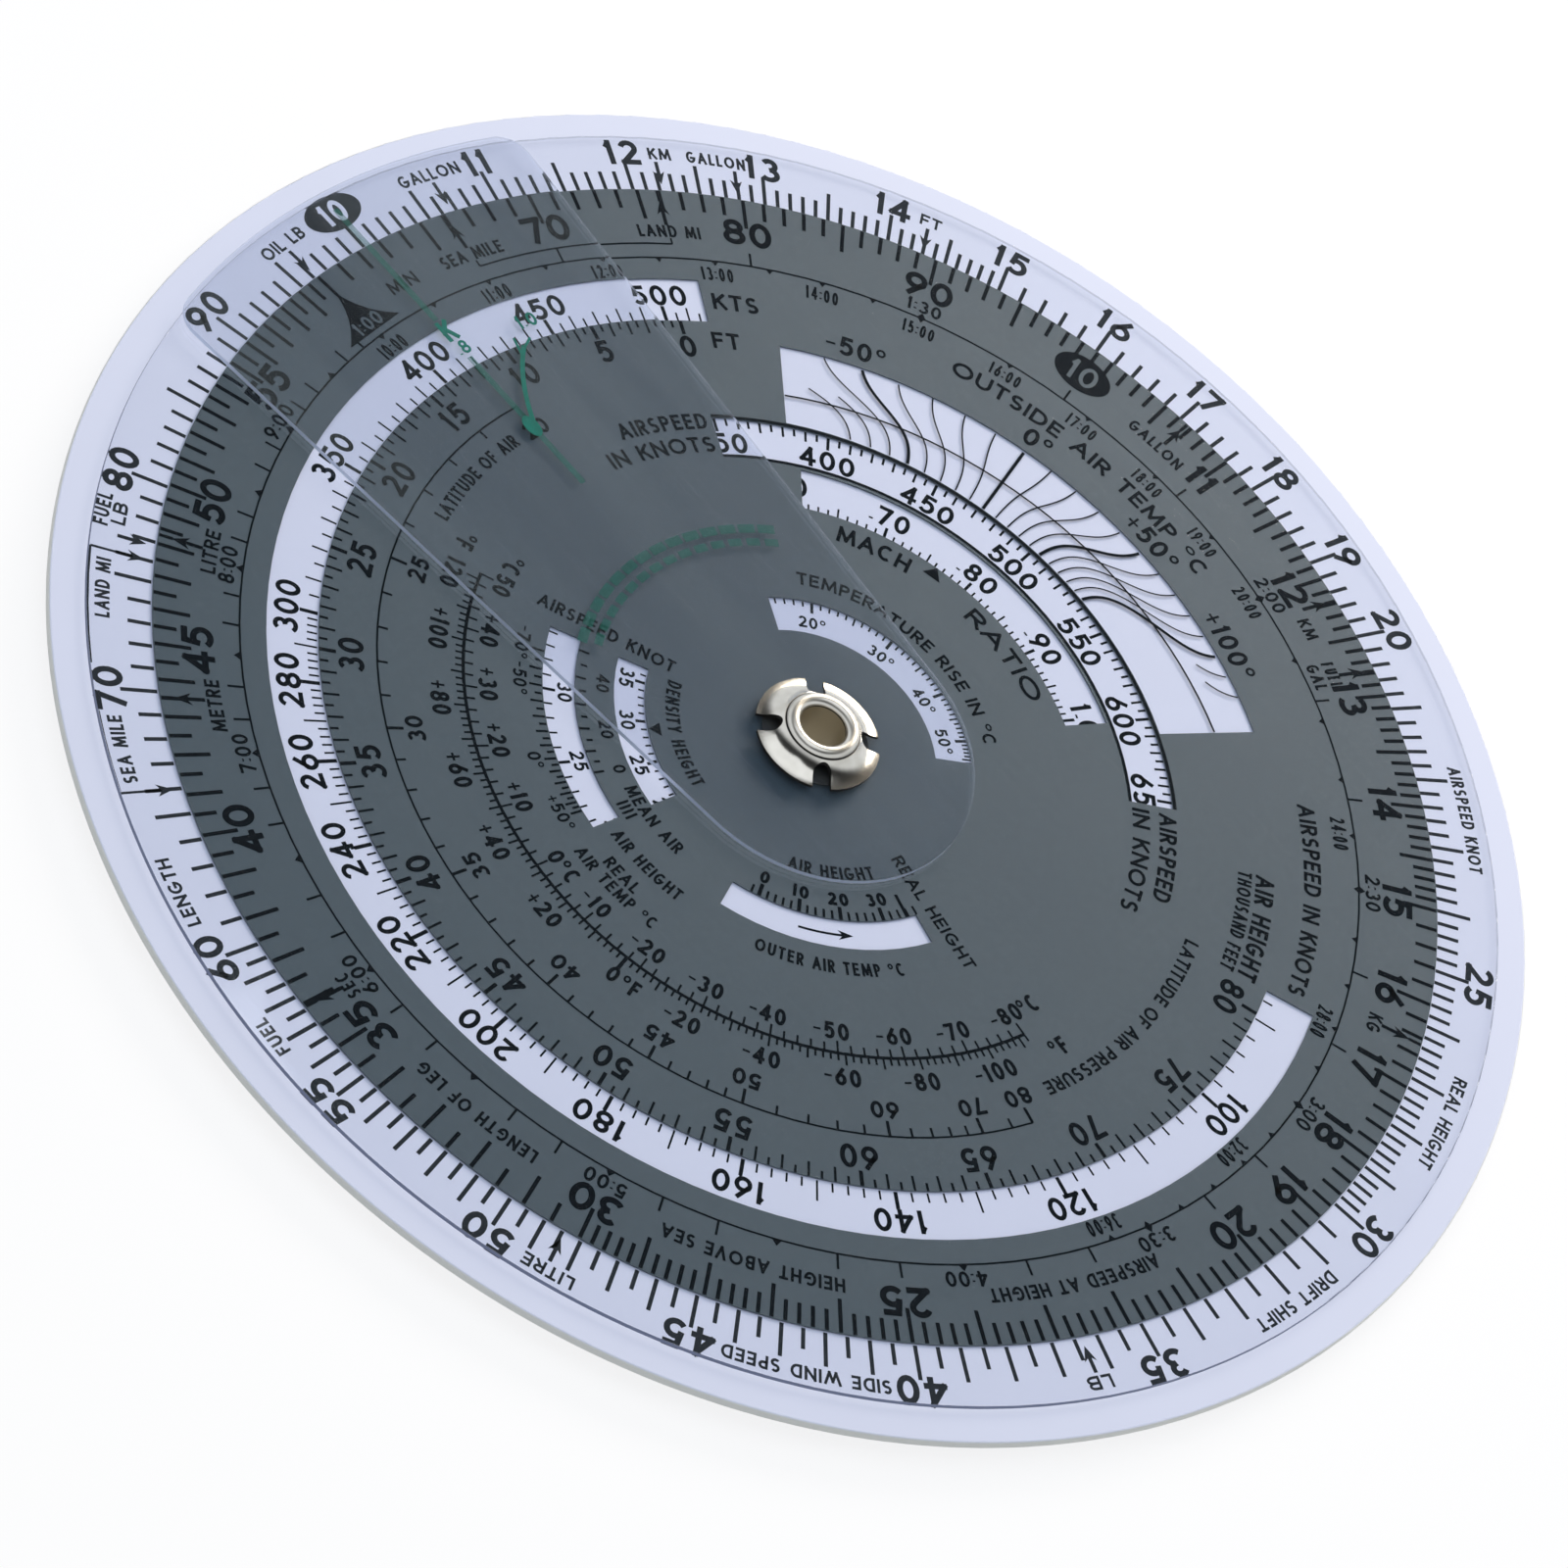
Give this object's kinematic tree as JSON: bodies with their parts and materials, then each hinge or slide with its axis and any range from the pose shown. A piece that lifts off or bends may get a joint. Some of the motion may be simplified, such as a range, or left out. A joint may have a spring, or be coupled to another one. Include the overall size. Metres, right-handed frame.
{
  "type": "circular flight computer",
  "caption": "Circular slide-rule flight computer: white base disc, clear computing disc with a windowed dial and a clear cursor in front, wind and azimuth discs behind, on one eyelet hub.",
  "frame": {"origin": "on the hub axis, at the lowest face of the eyelet's back head, which is the bottom centre of the bounding box", "axes": "+Z along the hub axis out of the calculator side, +Y towards the base disc's index, +X to the right of it seen from the front"},
  "size_m": [0.1524, 0.1524, 0.0066],
  "materials": {
    "white_vinyl": "satin white sheet vinyl, screen printed",
    "clear_vinyl": "clear glossy sheet vinyl",
    "grey_print_film": "grey screen-printed film seen through gloss",
    "nickel_plate": "bright nickel plate on stamped metal",
    "fibre_washer": "thin pale fibre sheet"
  },
  "bodies": {
    "base": {"base_disc": "white_vinyl", "hub_eyelet": "nickel_plate", "spring_washer": "nickel_plate", "computing_spacer": "fibre_washer", "cursor_spacer": "fibre_washer", "wind_spacer": "fibre_washer", "azimuth_spacer": "fibre_washer"},
    "computing": {"computing_disc": "clear_vinyl", "dial_mask": "grey_print_film"},
    "cursor_arm": {"cursor": "clear_vinyl"},
    "wind": {"wind_disc": "white_vinyl"},
    "azimuth": {"azimuth_disc": "clear_vinyl"}
  },
  "joints": [
    {"name": "computing_turn", "type": "hinge", "parent": "base", "child": "computing", "pos_m": [0, 0, 0.00355], "axis": [0, 0, 1], "continuous": true},
    {"name": "cursor_turn", "type": "hinge", "parent": "base", "child": "cursor_arm", "pos_m": [0, 0, 0.00414], "axis": [0, 0, 1], "continuous": true},
    {"name": "wind_turn", "type": "hinge", "parent": "base", "child": "wind", "pos_m": [0, 0, 0.00165], "axis": [0, 0, 1], "continuous": true},
    {"name": "azimuth_turn", "type": "hinge", "parent": "base", "child": "azimuth", "pos_m": [0, 0, 0.00098], "axis": [0, 0, 1], "continuous": true}
  ]
}
